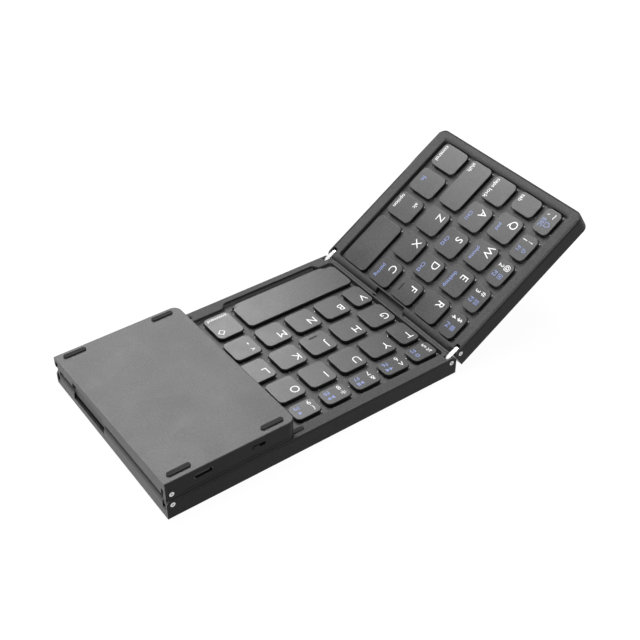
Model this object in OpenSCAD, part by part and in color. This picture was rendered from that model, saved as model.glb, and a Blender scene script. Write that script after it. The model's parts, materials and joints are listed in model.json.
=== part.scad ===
// Folding keyboard with touchpad: three wedge-section panels joined by two double-pivot hinges.
// +X runs to the user's right, +Y away from the user, +Z up.
// The origin is on the table, under the middle of the centre panel.

/* [Panels] */
// Depth of every panel, front to back
depth = 98.8; // [94:0.2:104]
// Length of the centre panel
centre_len = 152.4; // [150:0.2:156]
// Length of the left panel
left_len = 88.1; // [87:0.1:88.4]
// Length of the right (touchpad) panel
right_len = 63.4; // [62:0.1:63.8]
// Panel thickness at the back edge, deck to base
back_t = 9.8; // [9.4:0.1:10.5]
// Panel thickness at the front edge, deck to base
front_t = 7.3; // [7.2:0.1:8]
// Plan radius of the free corners
corner_r = 4; // [3:0.5:6]
// Thickness of the case walls and floors
wall = 1.2; // [1:0.1:1.4]

/* [Hinges] */
// Half the distance between the two pivots of a hinge
link_half = 3; // [2.9:0.05:3.1]
// Depth of a pivot below the deck, and its inset from the panel's end
pin_inset = 2.8; // [2.75:0.05:2.85]
// Angle of the left links above the deck
left_link_angle = 31; // [0:1:90]
// Angle of the left panel above its links
left_panel_angle = 2; // [0:1:90]

/* [Keys] */
// Width of a letter key
key_w = 14.2; // [13.8:0.1:14.3]
// Gap between two letter keys of a row
key_gap = 2.9; // [2.8:0.1:3]
// Corner radius of a keycap
key_r = 2.6; // [1.5:0.1:3]
// Depth of a keycap's top below the deck
key_sink = 0.4; // [0.3:0.1:0.6]
// Height of a keycap
cap_h = 1.15; // [1:0.05:1.2]
// How far a key travels
key_travel = 1.3; // [1:0.1:1.4]

/* [Touchpad] */
// Width of the touch surface
pad_w = 50; // [44:1:51]
// Depth of the touch surface
pad_d = 76; // [60:1:80]

/* [Hidden] */
$fn = 48;
overlap = 0.01;

wedge = asin((back_t - front_t) / depth);
mid_t = (back_t + front_t) / 2;
foot_h = 0.6;
half_c = centre_len / 2;
half_d = depth / 2;
fold_gap = 2 * (link_half - pin_inset);

// Bezel and case
bezel_t = 1.2;
groove_h = 0.25;
groove_d = 0.2;
rim = 6;
hinge_rim = 3.5;
free_rim = 4.8;
well_mid = 0.4;
well_wall = 0.7;
well_r = 1.5;
plate_top = 3;
plate_t = 0.4;
sheet_t = 0.6;
sheet_bottom = plate_top + plate_t + sheet_t;

// Key rows, from the number row at the back to the space row at the front
well_y = half_d - rim;
number_d = 9.4;
space_d = 17;
back_strip = 2.4;
front_strip = 2;
number_gap = 3.5;
row_gap = 3.3;
letter_rows = 2 * well_y - back_strip - number_d - number_gap - space_d - front_strip;
key_d = letter_rows / 3 - row_gap;
row_depth = [number_d, key_d, key_d, key_d, space_d];
number_back = well_mid + well_y - back_strip;
letter_back = number_back - number_d - number_gap;
row_step = key_d + row_gap;
row_back = [number_back, letter_back, letter_back - row_step, letter_back - 2 * row_step,
    letter_back - 3 * row_step];
key_edge = 4;
num_w = 13.5;
space_drop = 1.9;
well_drop = 3.3;
s_len = 4;
s_steps = 10;
space_s0 = 8;
space_s1 = 64;
well_s0 = 10;
well_s1 = 68.5;
cap_top = 0.6;
cap_side = 0.8;

// What each key stands on: a rubber dome inside a folded scissor frame, both drawn at the
// height that they have under a pressed key
seat_pitch = 15;
press_gap = 0.05;
seat_top = key_sink + cap_top + key_travel + press_gap;
dome_r = 2.4;
dome_top_r = 1.6;
frame_w = 7.2;
frame_d = 6;
frame_bar = 0.9;
frame_end = 0.5;
leg_t = 0.6;
leg_d = 1;
leg_y = 2.2;
leg_gap = 0.1;
leg_low = plate_top + plate_t - key_travel - 2 * press_gap;
port_w = 9;
port_d = 6.6;
bar_mark = [4.2, 0.6, 0.25];
bar_in = 4.6;

// Hinge hardware
bar_r = 2.3;
bar_t = 2.1;
bar_y = half_d - 2.25;
slot_gap = 0.2;
pin_r = 1.15;
pin_fit = 0.05;
pin_dimple_r = 0.45;
pin_dimple = 0.5;
pin_len = 4.4;
bridge_near = 0.1;
bridge_far = 1.5;
trunnion_r = 0.4;
trunnion_in = 1.2;
trunnion_out = 1.4;
lug_u = 6.6;
lug_d = 4.8;
bridge_lug_u = 3.6;
bridge_lug_d = 2.2;
// Middle and half length of each cable bridge: the left hinge's, then the right hinge's
bridge_mid = [0, -18];
bridge_half = [10.2, 13.8];
$hinge = 0;

// Rubber pads
foot_len = 11;
foot_w = 2.4;
foot_sunk = 0.5;
foot_u = 8.8;
foot_free_u = 9.9;
foot_in = 3.7;
bumper_len = 10;
bumper_w = 1.8;
bumper_in = 3.1;
bumper_sunk = 0.4;
bumper_x = (left_len - right_len) / 2;

// Touchpad panel, heights above its base
pad_u = (right_len - pad_w) / 2;
pad_t = 1.2;
pad_sink = 0.2;
pad_gap = 0.15;
pad_ledge = 1.5;
pad_frame = 1.4;
pad_floor = 0.6;
pad_r = 2;
board_t = 1;
port_u = 18;
port_z = 4.2;
usb_w = 9;
usb_h = 2.9;
usb_len = 7.3;
usb_wall = 0.3;
usb_r = 1.3;
usb_in = 0.1;
usb_back = 0.8;
tongue_size = [6.6, 5.5, 0.7];
switch_u = 44.5;
switch_len = 6.2;
switch_h = 1.9;
slot_r = 0.5;
knob_w = 3;
knob_h = 1.5;
knob_out = 0.4;
slide_gap = 0.2;
carrier_t = 1.1;
carrier_edge = 1;
battery_size = [46, 36, 3.4];
battery_in = 4;
board_size = [49, 38];
board_in = 3;
board_at = [lug_u + 0.6, half_d - board_in - board_size[1]];
board_z = port_z - usb_h / 2 - board_t;
post_r = 1.5;
post_in = [3, 6];
chip_size = [9, 9, 1.1];
chip_at = [8, 8];
radio_size = [6, 6, 0.9];
radio_at = [28, 10];
housing_size = [9.2, 2.9, 2.8];

// Keys: [name, near edge along the panel, width, row]. The left panel counts from its
// hinge end, and the centre panel from its left end.
pitch = key_w + key_gap;
narrow_w = 10.4;
inner_w = 12.4;
space_left_w = 29.3;
space_right_w = 60.2;
left_span = left_len - key_edge - free_rim - 0.5;
centre_span = centre_len - 2 * key_edge;
num_pitch_left = (left_span - num_w) / 4;
num_pitch = (centre_span - num_w) / 8;
mod_w = (left_span - space_left_w - 3 * key_gap) / 3;
side_w = (centre_span - space_right_w - 5 * key_gap) / 5;
narrow_next = key_edge + narrow_w + key_gap;
home_s = key_edge + 2 * (inner_w + key_gap);
left_end = key_edge + left_span;
centre_end = key_edge + centre_span;

function run(row_names, first, width, step, row) =
    [for (i = [0:len(row_names) - 1]) [row_names[i], first + i * step, width, row]];
function nameless(count) = [for (i = [1:count]) ""];

left_letters = concat(
    run(["key_r", "key_e", "key_w", "key_q"], key_edge, key_w, pitch, 1),
    run(["key_f", "key_d"], key_edge, inner_w, inner_w + key_gap, 2),
    run(["key_s", "key_a"], home_s, key_w, pitch, 2),
    run(["key_c", "key_x", "key_z"], key_edge, key_w, pitch, 3),
    [["key_space_left", key_edge, space_left_w, 4]]);
left_numbers = run(nameless(5), key_edge, num_w, num_pitch_left, 0);
tab_u = key_edge + 4 * pitch;
caps_u = home_s + 2 * pitch;
shift_u = key_edge + 3 * pitch;
mods_u = key_edge + space_left_w + key_gap;
left_modifiers = concat(
    [["", tab_u, left_end - tab_u, 1], ["", caps_u, left_end - caps_u, 2],
     ["", shift_u, left_end - shift_u, 3]],
    run(nameless(3), mods_u, mod_w, mod_w + key_gap, 4));

command_u = key_edge + space_right_w + key_gap;
centre_letters = concat(
    [["key_t", key_edge, narrow_w, 1], ["key_v", key_edge, narrow_w, 3]],
    run(["key_y", "key_u", "key_i", "key_o"], narrow_next, key_w, pitch, 1),
    run(["key_g", "key_h", "key_j", "key_k", "key_l"], key_edge, key_w, pitch, 2),
    run(["key_b", "key_n", "key_m", "key_comma"], narrow_next, key_w, pitch, 3),
    [["key_command", command_u, side_w, 4]]);
space_right = ["key_space_right", key_edge, space_right_w, 4];
centre_numbers = run(nameless(9), key_edge, num_w, num_pitch, 0);
last_u = narrow_next + 7 * pitch;
enter_u = key_edge + 7 * pitch;
centre_right = concat(
    run(nameless(3), narrow_next + 4 * pitch, key_w, pitch, 1),
    run(nameless(3), narrow_next + 4 * pitch, key_w, pitch, 3),
    run(nameless(2), key_edge + 5 * pitch, key_w, pitch, 2),
    run(nameless(4), command_u + side_w + key_gap, side_w, side_w + key_gap, 4),
    [["", last_u, centre_end - last_u, 1], ["", enter_u, centre_end - enter_u, 2],
     ["", last_u, centre_end - last_u, 3]]);
left_keys = concat(left_letters, left_numbers, left_modifiers);
centre_keys = concat(centre_letters, [space_right], centre_numbers, centre_right);
marked_keys = ["key_f", "key_j"];

function names(keys) = [for (k = keys) k[0]];

case_colour = [0.2, 0.2, 0.2];
bezel_colour = [0.4, 0.4, 0.4];
plate_colour = [0.36, 0.36, 0.36];
key_colour = [0.55, 0.55, 0.55];
metal_colour = [0.85, 0.85, 0.86];
rubber_colour = [0.25, 0.25, 0.25];
board_colour = [0.1, 0.32, 0.18];

// Depth of a panel's base below its deck, at y along the deck
function drop(y) = (mid_t + y * sin(wedge)) / cos(wedge);

// ---------- frames ----------
// Deck frame: X and Y lie in the centre panel's top face
module in_deck() {
    translate([0, 0, foot_h + mid_t]) rotate([wedge, 0, 0]) children();
}
// Level frame of a panel's base, seen from the panel's deck frame
module on_base() {
    rotate([-wedge, 0, 0]) translate([0, 0, -mid_t]) children();
}
// Turns about a hinge pivot at x
module pivoted(x, angle) {
    translate([x, 0, -pin_inset]) rotate([0, angle, 0]) translate([-x, 0, pin_inset]) children();
}
inner_x = half_c - pin_inset;
outer_x = inner_x + 2 * link_half;
link_mid = (inner_x + outer_x) / 2;
module in_left_link() {
    in_deck() pivoted(-inner_x, left_link_angle) children();
}
module in_right_link() {
    in_deck() pivoted(inner_x, -90) children();
}
// Panel frames: X is the distance from the panel's hinge end
module in_left() {
    in_left_link() pivoted(-outer_x, left_panel_angle)
        translate([-half_c - fold_gap, 0, 0]) mirror([1, 0, 0]) children();
}
module in_right() {
    at_right_hinge() in_right_link() pivoted(outer_x, -90)
        translate([half_c + fold_gap, 0, 0]) children();
}
// The centre panel's own frame: X is the distance from its left end
module in_centre() {
    in_deck() translate([-half_c, 0, 0]) children();
}
module both_sides() {
    children();
    mirror([0, 1, 0]) children();
}
// Children that ask for a hinge's own sizes get the right hinge's
module at_right_hinge() {
    $hinge = 1;
    children();
}
// What one end of a panel has, also at the other end if that has a hinge too
module at_hinges(len, hinge_ends) {
    children();
    if (hinge_ends == 2) at_right_hinge() translate([len, 0, 0]) mirror([1, 0, 0]) children();
}

// ---------- plane shapes ----------
module round_rect(w, d, r) {
    translate([r, 0]) square([w - 2 * r, d]);
    translate([0, r]) square([w, d - 2 * r]);
    for (x = [r, w - r]) for (y = [r, d - r]) translate([x, y]) circle(r);
}
module stadium(len, w) {
    square([len - w, w], center = true);
    for (side = [-1, 1]) translate([side * (len - w) / 2, 0]) circle(w / 2);
}
// A smooth S from (x0, y0) to (x1, y1)
function s_curve(x0, x1, y0, y1) = [for (k = [0:s_steps])
    [x0 + (x1 - x0) * k / s_steps, y0 + (y1 - y0) * (1 - cos(180 * k / s_steps)) / 2]];
// The strip that a front edge gains where it steps forward between x0 and x1
module stepped_strip(x0, x1, y, step) {
    polygon(concat(s_curve(x0, x0 + s_len, y, y - step), s_curve(x1 - s_len, x1, y - step, y)));
}

// ---------- panel shapes, in a panel's frame ----------
module above(z) {
    translate([-5, -depth, z]) cube([centre_len + 10, 2 * depth, 20]);
}
module below(z) {
    translate([-5, -depth, z - 20]) cube([centre_len + 10, 2 * depth, 20]);
}
// Side section: the deck is rounded about each hinge pivot
module side_section(len, hinge_ends) {
    reach = back_t + 1;
    far = hinge_ends == 2 ? len - pin_inset : len;
    translate([pin_inset, -reach]) square([far - pin_inset, reach]);
    translate([0, -reach]) square([len, reach - pin_inset]);
    translate([pin_inset, -pin_inset]) circle(pin_inset);
    if (hinge_ends == 2) translate([len - pin_inset, -pin_inset]) circle(pin_inset);
}
// End section: the base slopes up towards the front
module end_section(inset, lift, top) {
    y = half_d - inset;
    polygon([[-y, lift - drop(-y)], [y, lift - drop(y)], [y, top], [-y, top]]);
}
module plan(len, hinge_ends, inset) {
    r = corner_r - inset;
    y = half_d - inset;
    square_len = hinge_ends == 2 ? len - 2 * inset : len - inset - corner_r;
    translate([inset, -y]) square([square_len, 2 * y]);
    if (hinge_ends == 1) {
        translate([inset, -y + r]) square([len - 2 * inset, 2 * (y - r)]);
        for (side = [-1, 1]) translate([len - inset - r, side * (y - r)]) circle(r);
    }
}
module plan_block(len, hinge_ends, inset) {
    translate([0, 0, -back_t - 1]) linear_extrude(back_t + 2) plan(len, hinge_ends, inset);
}
module lengthwise(x0, x1) {
    translate([x0, 0, 0]) rotate([90, 0, 90]) linear_extrude(x1 - x0) children();
}
module envelope(len, hinge_ends) {
    intersection() {
        rotate([90, 0, 0]) linear_extrude(depth + 2, center = true) side_section(len, hinge_ends);
        plan_block(len, hinge_ends, 0);
        lengthwise(-1, len + 1) end_section(0, 0, 0);
    }
}
module cavity(len, hinge_ends) {
    intersection() {
        plan_block(len, hinge_ends, wall);
        lengthwise(0, len) end_section(wall, wall, 1);
    }
}

// ---------- hinge seats ----------
module link_slots() {
    reach = pin_inset + bar_r + slot_gap;
    width = bar_t + 2 * slot_gap;
    both_sides() translate([-1, bar_y - width / 2, -reach]) cube([reach + 1, width, reach + 1]);
}
module pin_holes() {
    both_sides() translate([pin_inset, half_d + 1, -pin_inset])
        rotate([90, 0, 0]) cylinder(r = pin_r, h = pin_len + 1);
}
module pivot_rod(r, half) {
    translate([pin_inset, 0, -pin_inset]) rotate([90, 0, 0]) cylinder(r = r, h = 2 * half, center = true);
}
module at_bridge() {
    translate([0, bridge_mid[$hinge], 0]) children();
}
module bridge_slot() {
    half = bridge_half[$hinge] + slot_gap;
    reach = pin_inset + bridge_far + slot_gap;
    translate([-1, -half, -reach]) cube([pin_inset + 1, 2 * half, reach + 1]);
    pivot_rod(trunnion_r + slot_gap + pin_fit, half);
    pivot_rod(trunnion_r + pin_fit, bridge_half[$hinge] + trunnion_out + pin_fit);
}
// What a plate leaves free for a bridge and its lugs
module bridge_room() {
    half = bridge_half[$hinge] + bridge_lug_d + 2 * slot_gap;
    at_bridge() translate([0, -half]) square([bridge_lug_u + slot_gap, 2 * half]);
}
module hinge_cuts() {
    link_slots();
    pin_holes();
    at_bridge() bridge_slot();
}
module end_lugs() {
    both_sides() translate([0, half_d - lug_d, -back_t - 1]) cube([lug_u, lug_d, back_t + 1 - bezel_t]);
}
module bridge_lugs(gap) {
    at_bridge() both_sides()
        translate([0, bridge_half[$hinge] + slot_gap - gap, -back_t - 1])
            cube([bridge_lug_u + gap, bridge_lug_d + 2 * gap, back_t + 1 - bezel_t]);
}
module hinge_pins() {
    color(metal_colour) both_sides() translate([pin_inset, half_d, -pin_inset])
        rotate([90, 0, 0]) difference() {
            cylinder(r = pin_r, h = pin_len);
            translate([0, 0, -1]) cylinder(r = pin_dimple_r, h = pin_dimple + 1);
        }
}

// ---------- cases ----------
// Shadow line around the case, just under the bezel
module seam_groove(len, hinge_ends) {
    last = hinge_ends == 2 ? len - lug_u : len + 1;
    difference() {
        translate([lug_u, -half_d - 1, -bezel_t - groove_h])
            cube([last - lug_u, depth + 2, groove_h + 1]);
        plan_block(hinge_ends == 2 ? len + 20 : len, hinge_ends, groove_d);
    }
}
// A case open at the top; children are what stands on its floor
module case_shell(len, hinge_ends) {
    difference() {
        intersection() {
            envelope(len, hinge_ends);
            below(-bezel_t);
            union() {
                difference() {
                    below(0);
                    cavity(len, hinge_ends);
                }
                at_hinges(len, hinge_ends) end_lugs();
                at_hinges(len, hinge_ends) bridge_lugs(0);
                children();
            }
        }
        at_hinges(len, hinge_ends) hinge_cuts();
        seam_groove(len, hinge_ends);
    }
}
// Ledges and ribs that carry the keys' plate
module key_supports(len, rib_count) {
    ledge = 1.6;
    high = back_t - sheet_bottom;
    translate([0, well_mid, -back_t]) {
        both_sides() translate([wall, well_y - ledge, 0]) cube([len - 2 * wall, ledge, high]);
        for (i = [1:rib_count])
            translate([len * i / (rib_count + 1), -well_y, 0]) cube([1, 2 * well_y, high]);
    }
}
function foot_spots(len, free) = [for (u = [foot_u, len - (free ? foot_free_u : foot_u)])
    for (side = [-1, 1]) [u, side * (half_d - foot_in)]];
module feet(spots, low, high) {
    on_base() for (p = spots) translate([p[0], p[1], low]) linear_extrude(high - low)
        stadium(foot_len, foot_w);
}
module panel_feet(spots) {
    color(rubber_colour) feet(spots, -foot_h, foot_sunk);
}

// ---------- bezels ----------
module left_well(grow) {
    translate([hinge_rim - grow, well_mid - well_y - grow])
        round_rect(left_len - hinge_rim - free_rim + 2 * grow, 2 * (well_y + grow), well_r + grow);
}
// The right space bar is deeper than its row, and its well follows it
module centre_well(grow) {
    translate([hinge_rim - grow, well_mid - well_y - grow])
        round_rect(centre_len - 2 * hinge_rim + 2 * grow, 2 * (well_y + grow), well_r + grow);
    stepped_strip(well_s0 - grow, well_s1 + grow, well_mid + overlap - well_y - grow, well_drop);
}
// The key bezel: a rim on the deck, and a wall around the well (children 0 is the well grown
// by that wall, and children 1 the well)
module key_bezel(len, hinge_ends) {
    far = hinge_ends == 2 ? len - pin_inset : len - 1;
    difference() {
        intersection() {
            envelope(len, hinge_ends);
            union() {
                above(-bezel_t);
                intersection() {
                    translate([0, 0, -plate_top]) linear_extrude(plate_top) children(0);
                    translate([pin_inset, -half_d, -plate_top])
                        cube([far - pin_inset, depth, plate_top]);
                }
            }
        }
        translate([0, 0, -plate_top - 1]) linear_extrude(plate_top + 2) children(1);
        at_hinges(len, hinge_ends) hinge_cuts();
        at_hinges(len, hinge_ends) bridge_lugs(overlap);
    }
}

// ---------- keys ----------
function row_front(k) = row_back[k[3]] - row_depth[k[3]];
module key_corner(k) {
    translate([k[1], row_front(k), 0]) children();
}
module key_middle(k) {
    translate([k[1] + k[2] / 2, row_front(k) + row_depth[k[3]] / 2, 0]) children();
}
// Where a key has its domes and scissor frames: one, or more under a long key
function seats(k) = let (n = max(1, round(k[2] / seat_pitch)))
    [for (i = [0:n - 1]) (i - (n - 1) / 2) * k[2] / n];
module at_seats(k) {
    for (x = seats(k)) key_middle(k) translate([x, 0, 0]) children();
}
module cap_outline(k, inset) {
    key_corner(k) translate([inset, inset])
        round_rect(k[2] - 2 * inset, row_depth[k[3]] - 2 * inset, key_r - inset);
    if (k[0] == space_right[0])
        stepped_strip(space_s0 + inset, space_s1 - inset, row_front(k) + inset + overlap, space_drop);
}
// A cap is a shallow tray upside down, with clips that reach down beside its scissor frames
module keycap(k) {
    translate([0, 0, -key_sink - cap_h]) difference() {
        linear_extrude(cap_h) cap_outline(k, 0);
        translate([0, 0, -1]) linear_extrude(cap_h - cap_top + 1) cap_outline(k, cap_side);
    }
    leg_h = leg_low - key_sink - cap_top + overlap;
    at_seats(k) for (side = [-1, 1]) for (end = [-1, 1])
        translate([side * (frame_w / 2 + leg_gap + leg_t / 2), end * leg_y, leg_h / 2 - leg_low])
            cube([leg_t, leg_d, leg_h], center = true);
}
// The raised bar that the index fingers find
module finger_bar(k) {
    key_middle(k) translate([-bar_mark[0] / 2, -bar_in, -key_sink - overlap]) cube(bar_mark);
}
module one_key(k) {
    color(key_colour) {
        keycap(k);
        for (marked = marked_keys) if (k[0] == marked) finger_bar(k);
    }
}
module key_group(keys) {
    for (k = keys) one_key(k);
}
module plate_outline(len, hinge_ends) {
    x0 = pin_inset + 0.1;
    x1 = hinge_ends == 2 ? len - x0 : len - wall - slot_gap;
    y = well_y + 0.6;
    difference() {
        union() {
            translate([x0, well_mid - y]) square([x1 - x0, 2 * y]);
            if (hinge_ends == 2)
                stepped_strip(well_s0 - 0.5, well_s1 + 0.5, well_mid + 0.1 - y, well_drop);
        }
        at_hinges(len, hinge_ends) bridge_room();
    }
}
module key_plate(len, hinge_ends, keys) {
    color(plate_colour) translate([0, 0, -plate_top - plate_t]) linear_extrude(plate_t)
        difference() {
            plate_outline(len, hinge_ends);
            for (k = keys) at_seats(k) square([port_w, port_d], center = true);
        }
}
module dome_sheet(len, hinge_ends, keys) {
    color(rubber_colour) {
        translate([0, 0, -sheet_bottom]) linear_extrude(sheet_t) plate_outline(len, hinge_ends);
        for (k = keys) at_seats(k) translate([0, 0, -plate_top - plate_t - overlap])
            cylinder(r1 = dome_r, r2 = dome_top_r, h = plate_top + plate_t + overlap - seat_top);
    }
}
module scissors(keys) {
    color(key_colour) for (k = keys) at_seats(k) translate([0, 0, -plate_top - plate_t])
        linear_extrude(plate_top + plate_t - seat_top) difference() {
            square([frame_w, frame_d], center = true);
            square([frame_w - 2 * frame_bar, frame_d - 2 * frame_end], center = true);
        }
}

// ---------- centre panel ----------
module centre_case() {
    color(case_colour) in_centre() difference() {
        case_shell(centre_len, 2) key_supports(centre_len, 3);
        feet(foot_spots(centre_len, false), -1, foot_sunk);
    }
}
module bumper_pads(low, high) {
    both_sides() translate([half_c + bumper_x, half_d - bumper_in, low])
        linear_extrude(high - low) stadium(bumper_len, bumper_w);
}
module centre_bezel() {
    color(bezel_colour) in_centre() difference() {
        key_bezel(centre_len, 2) {
            centre_well(well_wall);
            centre_well(0);
        }
        bumper_pads(-bumper_sunk, 1);
    }
}
module rubber_feet_and_bumpers() {
    in_centre() {
        panel_feet(foot_spots(centre_len, false));
        color(rubber_colour) bumper_pads(-bumper_sunk, fold_gap);
    }
}

// ---------- left panel ----------
module left_case() {
    color(case_colour) in_left() difference() {
        case_shell(left_len, 1) key_supports(left_len, 2);
        feet(foot_spots(left_len, true), -1, foot_sunk);
    }
}
module left_bezel() {
    color(bezel_colour) in_left() key_bezel(left_len, 1) {
        left_well(well_wall);
        left_well(0);
    }
}

// ---------- right panel ----------
// A hole through the back wall, centred on the port line
module back_hole(u, w, h, r, from, to) {
    on_base() translate([u, to, port_z]) rotate([90, 0, 0]) linear_extrude(to - from)
        translate([-w / 2, -h / 2]) round_rect(w, h, r);
}
module right_case() {
    color(case_colour) in_right() difference() {
        case_shell(right_len, 1) board_posts();
        back_hole(port_u, usb_w + usb_in, usb_h + usb_in, usb_r, half_d - 2 * wall, half_d + wall);
        back_hole(switch_u, switch_len, switch_h, slot_r, half_d - 2 * wall, half_d + wall);
        feet(foot_spots(right_len, true), -1, foot_sunk);
    }
}
module board_posts() {
    on_base() for (x = [post_in[0], board_size[0] - post_in[0]])
        for (y = [post_in[1], board_size[1] - post_in[1]])
            translate([board_at[0] + x, board_at[1] + y, 0]) cylinder(r = post_r, h = board_z);
}
module right_bezel() {
    grown = pad_frame + pad_gap;
    color(bezel_colour) in_right() difference() {
        intersection() {
            envelope(right_len, 1);
            union() {
                above(-bezel_t);
                intersection() {
                    translate([pad_u - grown, -pad_d / 2 - grown, -pad_sink - pad_t - pad_floor])
                        linear_extrude(pad_t + pad_floor)
                            round_rect(pad_w + 2 * grown, pad_d + 2 * grown, pad_r);
                    cavity(right_len, 1);
                }
            }
        }
        translate([pad_u - pad_gap, -pad_d / 2 - pad_gap, -pad_sink - pad_t]) linear_extrude(3)
            round_rect(pad_w + 2 * pad_gap, pad_d + 2 * pad_gap, pad_r + pad_gap);
        translate([pad_u + pad_ledge, pad_ledge - pad_d / 2, -5])
            cube([pad_w - 2 * pad_ledge, pad_d - 2 * pad_ledge, 6]);
        hinge_cuts();
    }
}
module touchpad() {
    color(key_colour) in_right() translate([pad_u, -pad_d / 2, -pad_sink - pad_t])
        linear_extrude(pad_t) round_rect(pad_w, pad_d, pad_r);
}
module main_board() {
    color(board_colour) in_right() on_base() {
        translate([board_at[0], board_at[1], board_z]) cube([board_size[0], board_size[1], board_t]);
        translate([0, 0, board_z + board_t - overlap]) {
            translate(board_at + chip_at) cube(chip_size);
            translate(board_at + radio_at) cube(radio_size);
            translate([switch_u - housing_size[0] / 2, half_d - board_in - housing_size[1]])
                cube(housing_size);
        }
    }
}
module battery() {
    color("lightsteelblue") in_right() on_base()
        translate([pad_u, battery_in + wall - half_d, wall]) cube(battery_size);
}
module charge_port() {
    inner = [usb_w - 2 * usb_wall, usb_h - 2 * usb_wall];
    back = half_d - usb_len;
    color(metal_colour) in_right() {
        difference() {
            back_hole(port_u, usb_w, usb_h, usb_r, back, half_d - usb_in);
            back_hole(port_u, inner[0], inner[1], usb_r - usb_wall, back + usb_back, half_d + 1);
        }
        on_base() translate([port_u - tongue_size[0] / 2, back + usb_back - overlap,
            port_z - tongue_size[2] / 2]) cube(tongue_size);
    }
}
module power_switch() {
    u = switch_u - switch_len / 2 + slide_gap;
    back = half_d - wall - slide_gap;
    color(key_colour) in_right() on_base() {
        translate([u, back - overlap, port_z - knob_h / 2])
            cube([knob_w, wall + slide_gap + knob_out + overlap, knob_h]);
        translate([u - carrier_edge, back - carrier_t, port_z - knob_h / 2 - carrier_edge / 2])
            cube([knob_w + 2 * carrier_edge, carrier_t, knob_h + carrier_edge]);
    }
}

// ---------- hinges, in a link's frame ----------
module link_bars(side) {
    color(metal_colour) both_sides() translate([side * link_mid, bar_y + bar_t / 2, -pin_inset])
        rotate([90, 0, 0]) linear_extrude(bar_t) difference() {
            stadium(2 * (link_half + bar_r), 2 * bar_r);
            for (end = [-1, 1]) translate([end * link_half, 0]) circle(pin_r + pin_fit);
        }
}
module cable_bridge(side) {
    half_x = link_half - 0.1;
    half = bridge_half[$hinge];
    color(rubber_colour) at_bridge() translate([side * link_mid, 0, -pin_inset]) {
        translate([-half_x, -half, -bridge_far])
            cube([2 * half_x, 2 * half, bridge_far - bridge_near]);
        for (end = [-1, 1]) both_sides() translate([end * link_half, half + trunnion_out, 0])
            rotate([90, 0, 0]) cylinder(r = trunnion_r, h = trunnion_in + trunnion_out);
    }
}

centre_case();
centre_bezel();
in_centre() key_plate(centre_len, 2, centre_keys);  // centre_key_plate
in_centre() dome_sheet(centre_len, 2, centre_keys);  // centre_dome_sheet
in_centre() scissors(centre_keys);  // centre_scissors
rubber_feet_and_bumpers();
in_centre() at_hinges(centre_len, 2) hinge_pins();  // centre_hinge_pins
left_case();
left_bezel();
in_left() key_plate(left_len, 1, left_keys);  // left_key_plate
in_left() dome_sheet(left_len, 1, left_keys);  // left_dome_sheet
in_left() scissors(left_keys);  // left_scissors
in_left() panel_feet(foot_spots(left_len, true));  // left_feet
in_left() hinge_pins();  // left_hinge_pins
right_case();
right_bezel();
touchpad();
main_board();
battery();
charge_port();
power_switch();
in_right() panel_feet(foot_spots(right_len, true));  // right_feet
in_right() hinge_pins();  // right_hinge_pins
in_left_link() link_bars(-1);  // left_link_bars
in_left_link() cable_bridge(-1);  // left_cable_bridge
in_right_link() link_bars(1);  // right_link_bars
at_right_hinge() in_right_link() cable_bridge(1);  // right_cable_bridge
in_left() key_group(left_numbers);  // left_number_keys
in_left() key_group(left_modifiers);  // left_modifier_keys
in_centre() key_group(centre_numbers);  // centre_number_keys
in_centre() key_group(centre_right);  // centre_right_keys
in_centre() one_key(space_right);  // key_space_right
for (k = left_letters) in_left() one_key(k);
for (k = centre_letters) in_centre() one_key(k);
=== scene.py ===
import json
import math

import bmesh
import bpy
from mathutils import Matrix, Vector

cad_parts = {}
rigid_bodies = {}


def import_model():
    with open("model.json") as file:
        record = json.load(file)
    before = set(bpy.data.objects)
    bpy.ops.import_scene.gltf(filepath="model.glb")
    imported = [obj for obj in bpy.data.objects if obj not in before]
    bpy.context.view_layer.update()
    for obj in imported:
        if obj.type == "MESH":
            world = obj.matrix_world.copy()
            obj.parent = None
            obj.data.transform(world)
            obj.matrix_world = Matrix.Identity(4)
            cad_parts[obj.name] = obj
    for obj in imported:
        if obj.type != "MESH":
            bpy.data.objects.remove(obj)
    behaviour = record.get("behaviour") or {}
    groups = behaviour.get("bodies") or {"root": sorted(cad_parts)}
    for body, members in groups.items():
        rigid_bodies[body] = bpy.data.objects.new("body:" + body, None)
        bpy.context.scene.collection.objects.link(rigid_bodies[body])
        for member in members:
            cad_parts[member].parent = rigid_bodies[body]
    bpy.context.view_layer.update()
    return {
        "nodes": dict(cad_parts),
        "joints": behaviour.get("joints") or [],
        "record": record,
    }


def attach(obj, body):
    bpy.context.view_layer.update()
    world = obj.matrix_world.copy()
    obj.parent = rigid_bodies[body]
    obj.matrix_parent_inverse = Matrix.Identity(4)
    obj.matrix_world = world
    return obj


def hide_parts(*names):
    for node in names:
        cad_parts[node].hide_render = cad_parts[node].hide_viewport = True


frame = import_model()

MM = 0.001

# Sizes are in millimetres, in the plane of the unfolded deck: x to the user's right from the
# middle of the centre panel, y away from the user, z up from the deck.
HALF_CENTRE = 76.2
HALF_DEPTH = 49.4
MIDDLE_THICKNESS = 8.55
CORNER_RADIUS = 4.0
PIN_INSET = 2.8
KEY_TOP = -0.4


# ---------- where things are ----------
joints = {joint["name"]: joint for joint in frame["joints"]}


def turned(joint_name, degrees):
    """The turn by some degrees about a hinge pin."""
    pin = Vector(joints[joint_name]["pos_m"])
    axis = Vector(joints[joint_name]["axis"])
    turn = Matrix.Rotation(math.radians(degrees), 4, axis)
    return Matrix.Translation(pin) @ turn @ Matrix.Translation(-pin)


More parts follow.
